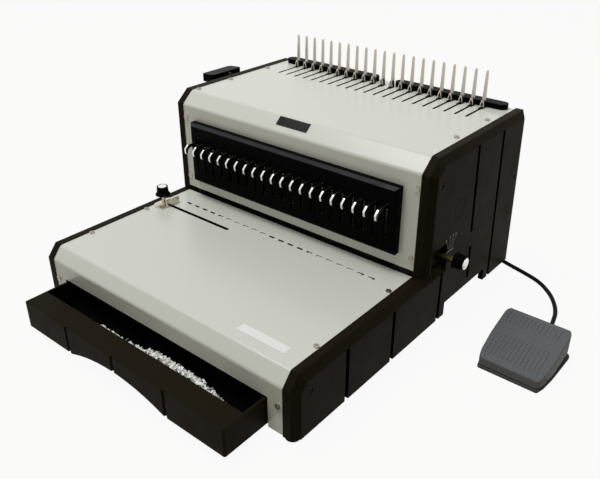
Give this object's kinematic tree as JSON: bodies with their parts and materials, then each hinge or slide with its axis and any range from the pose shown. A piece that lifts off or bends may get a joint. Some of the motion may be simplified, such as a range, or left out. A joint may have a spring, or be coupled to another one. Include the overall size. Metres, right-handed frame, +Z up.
{
  "type": "electric comb binding machine",
  "caption": "Desktop machine that punches a row of slots in paper and opens plastic combs, with pull levers, a depth dial, a chip drawer and a foot pedal.",
  "frame": {"origin": "on the table, in the middle of the machine's footprint between its two side caps; the pulled-out drawer, the lever and the pedal are not counted", "axes": "+X to the user's right along the row of holes, +Y away from the user towards the back, +Z up"},
  "size_m": [0.5515, 0.572, 0.2548],
  "materials": {
    "cover_paint": "satin",
    "dark_plastic": "fine texture",
    "black_plastic": "satin",
    "grey_plastic": "matte",
    "white_plastic": "matte",
    "frame_steel": "satin",
    "tool_steel": "ground",
    "nickel_steel": "nickel plated",
    "bright_steel": "polished",
    "rubber": "matte",
    "cord_sheath": "matte"
  },
  "bodies": {
    "machine": {"base_plate": "frame_steel", "left_side_cap": "dark_plastic", "right_side_cap": "dark_plastic", "tray_cover": "cover_paint", "upper_cover": "cover_paint", "rear_cover": "cover_paint", "lever_bezel": "black_plastic", "feet": "rubber", "cover_screws": "bright_steel", "slot_backing_strip": "white_plastic", "side_frame": "frame_steel", "die_block": "tool_steel", "pin_guide_block": "tool_steel", "comb_fingers": "nickel_steel", "comb_rest_bars": "black_plastic", "gear_motor": "frame_steel", "power_inlet": "black_plastic", "cord_gland": "rubber", "machine_cord": "cord_sheath", "cord_coil": "cord_sheath", "pedal_cord": "cord_sheath", "pedal_base": "grey_plastic", "pedal_pin": "bright_steel", "pedal_spring": "bright_steel"},
    "drawer": {"chip_drawer": "dark_plastic"},
    "guide": {"side_guide": "nickel_steel"},
    "guide_clamp": {"guide_knob": "black_plastic"},
    "dial": {"depth_stop_rod": "frame_steel", "depth_knob": "black_plastic"},
    "opener": {"opener_shaft": "frame_steel", "opener_arm": "nickel_steel", "opener_grip": "black_plastic"},
    "hooks": {"hook_plate": "nickel_steel"},
    "ram": {"punch_ram": "tool_steel", "punch_pins": "tool_steel"},
    "cam": {"cam_shaft": "tool_steel"},
    "motor_gear": {"motor_pinion": "tool_steel"},
    "switch": {"power_rocker": "black_plastic"},
    "treadle": {"pedal_treadle": "grey_plastic"},
    "pull_01": {"pin_pull_01": "bright_steel"},
    "pull_02": {"pin_pull_02": "bright_steel"},
    "pull_03": {"pin_pull_03": "bright_steel"},
    "pull_04": {"pin_pull_04": "bright_steel"},
    "pull_05": {"pin_pull_05": "bright_steel"},
    "pull_06": {"pin_pull_06": "bright_steel"},
    "pull_07": {"pin_pull_07": "bright_steel"},
    "pull_08": {"pin_pull_08": "bright_steel"},
    "pull_09": {"pin_pull_09": "bright_steel"},
    "pull_10": {"pin_pull_10": "bright_steel"},
    "pull_11": {"pin_pull_11": "bright_steel"},
    "pull_12": {"pin_pull_12": "bright_steel"},
    "pull_13": {"pin_pull_13": "bright_steel"},
    "pull_14": {"pin_pull_14": "bright_steel"},
    "pull_15": {"pin_pull_15": "bright_steel"},
    "pull_16": {"pin_pull_16": "bright_steel"},
    "pull_17": {"pin_pull_17": "bright_steel"},
    "pull_18": {"pin_pull_18": "bright_steel"},
    "pull_19": {"pin_pull_19": "bright_steel"},
    "pull_20": {"pin_pull_20": "bright_steel"},
    "pull_21": {"pin_pull_21": "bright_steel"}
  },
  "joints": [
    {"name": "drawer_slide", "type": "slide", "parent": "machine", "child": "drawer", "axis": [0, -1, 0], "range_m": [-0.053, 0.15]},
    {"name": "guide_slide", "type": "slide", "parent": "machine", "child": "guide", "axis": [1, 0, 0], "range_m": [0, 0.11]},
    {"name": "guide_clamp_turn", "type": "hinge", "parent": "guide", "child": "guide_clamp", "pos_m": [-0.1705, -0.0545, 0.085], "axis": [0, 0, 1], "range_deg": [0, 180]},
    {"name": "dial_turn", "type": "hinge", "parent": "machine", "child": "dial", "pos_m": [0, 0.033, 0.092], "axis": [1, 0, 0], "continuous": true},
    {"name": "opener_turn", "type": "hinge", "parent": "machine", "child": "opener", "pos_m": [0, 0.145, 0.177], "axis": [1, 0, 0], "range_deg": [0, 87.3]},
    {"name": "hooks_slide", "type": "slide", "parent": "machine", "child": "hooks", "axis": [0, -1, 0], "range_m": [0, 0.032]},
    {"name": "cam_turn", "type": "hinge", "parent": "machine", "child": "cam", "pos_m": [0, 0.023, 0.172], "axis": [1, 0, 0], "range_deg": [0, 180]},
    {"name": "ram_slide", "type": "slide", "parent": "machine", "child": "ram", "axis": [0, 0, -1], "range_m": [0, 0.011]},
    {"name": "motor_turn", "type": "hinge", "parent": "machine", "child": "motor_gear", "pos_m": [0, 0.052, 0.1597], "axis": [1, 0, 0], "range_deg": [-240, 0]},
    {"name": "switch_rock", "type": "hinge", "parent": "machine", "child": "switch", "pos_m": [-0.11, 0.2123, 0.07192], "axis": [1, 0, 0], "range_deg": [0, 12]},
    {"name": "treadle_press", "type": "hinge", "parent": "machine", "child": "treadle", "pos_m": [0.2945, 0.011, 0.008], "axis": [-1, 0, 0], "range_deg": [0, 6], "stiffness_Nm_per_rad": 0.3, "springref_deg": -5.73, "deforming": ["pedal_spring"]},
    {"name": "pull_01_slide", "type": "slide", "parent": "ram", "child": "pull_01", "axis": [0, -1, 0], "range_m": [0, 0.008]},
    {"name": "pull_02_slide", "type": "slide", "parent": "ram", "child": "pull_02", "axis": [0, -1, 0], "range_m": [0, 0.008]},
    {"name": "pull_03_slide", "type": "slide", "parent": "ram", "child": "pull_03", "axis": [0, -1, 0], "range_m": [0, 0.008]},
    {"name": "pull_04_slide", "type": "slide", "parent": "ram", "child": "pull_04", "axis": [0, -1, 0], "range_m": [0, 0.008]},
    {"name": "pull_05_slide", "type": "slide", "parent": "ram", "child": "pull_05", "axis": [0, -1, 0], "range_m": [0, 0.008]},
    {"name": "pull_06_slide", "type": "slide", "parent": "ram", "child": "pull_06", "axis": [0, -1, 0], "range_m": [0, 0.008]},
    {"name": "pull_07_slide", "type": "slide", "parent": "ram", "child": "pull_07", "axis": [0, -1, 0], "range_m": [0, 0.008]},
    {"name": "pull_08_slide", "type": "slide", "parent": "ram", "child": "pull_08", "axis": [0, -1, 0], "range_m": [0, 0.008]},
    {"name": "pull_09_slide", "type": "slide", "parent": "ram", "child": "pull_09", "axis": [0, -1, 0], "range_m": [0, 0.008]},
    {"name": "pull_10_slide", "type": "slide", "parent": "ram", "child": "pull_10", "axis": [0, -1, 0], "range_m": [0, 0.008]},
    {"name": "pull_11_slide", "type": "slide", "parent": "ram", "child": "pull_11", "axis": [0, -1, 0], "range_m": [0, 0.008]},
    {"name": "pull_12_slide", "type": "slide", "parent": "ram", "child": "pull_12", "axis": [0, -1, 0], "range_m": [0, 0.008]},
    {"name": "pull_13_slide", "type": "slide", "parent": "ram", "child": "pull_13", "axis": [0, -1, 0], "range_m": [0, 0.008]},
    {"name": "pull_14_slide", "type": "slide", "parent": "ram", "child": "pull_14", "axis": [0, -1, 0], "range_m": [0, 0.008]},
    {"name": "pull_15_slide", "type": "slide", "parent": "ram", "child": "pull_15", "axis": [0, -1, 0], "range_m": [0, 0.008]},
    {"name": "pull_16_slide", "type": "slide", "parent": "ram", "child": "pull_16", "axis": [0, -1, 0], "range_m": [0, 0.008]},
    {"name": "pull_17_slide", "type": "slide", "parent": "ram", "child": "pull_17", "axis": [0, -1, 0], "range_m": [0, 0.008]},
    {"name": "pull_18_slide", "type": "slide", "parent": "ram", "child": "pull_18", "axis": [0, -1, 0], "range_m": [0, 0.008]},
    {"name": "pull_19_slide", "type": "slide", "parent": "ram", "child": "pull_19", "axis": [0, -1, 0], "range_m": [0, 0.008]},
    {"name": "pull_20_slide", "type": "slide", "parent": "ram", "child": "pull_20", "axis": [0, -1, 0], "range_m": [0, 0.008]},
    {"name": "pull_21_slide", "type": "slide", "parent": "ram", "child": "pull_21", "axis": [0, -1, 0], "range_m": [0, 0.008]}
  ],
  "couplings": [
    {"joint": "hooks_slide", "follows": "opener_turn", "m_per_rad": 0.021},
    {"joint": "cam_turn", "follows": "ram_slide", "rad_per_m": 285.6},
    {"joint": "motor_turn", "follows": "ram_slide", "rad_per_m": -380.8}
  ]
}
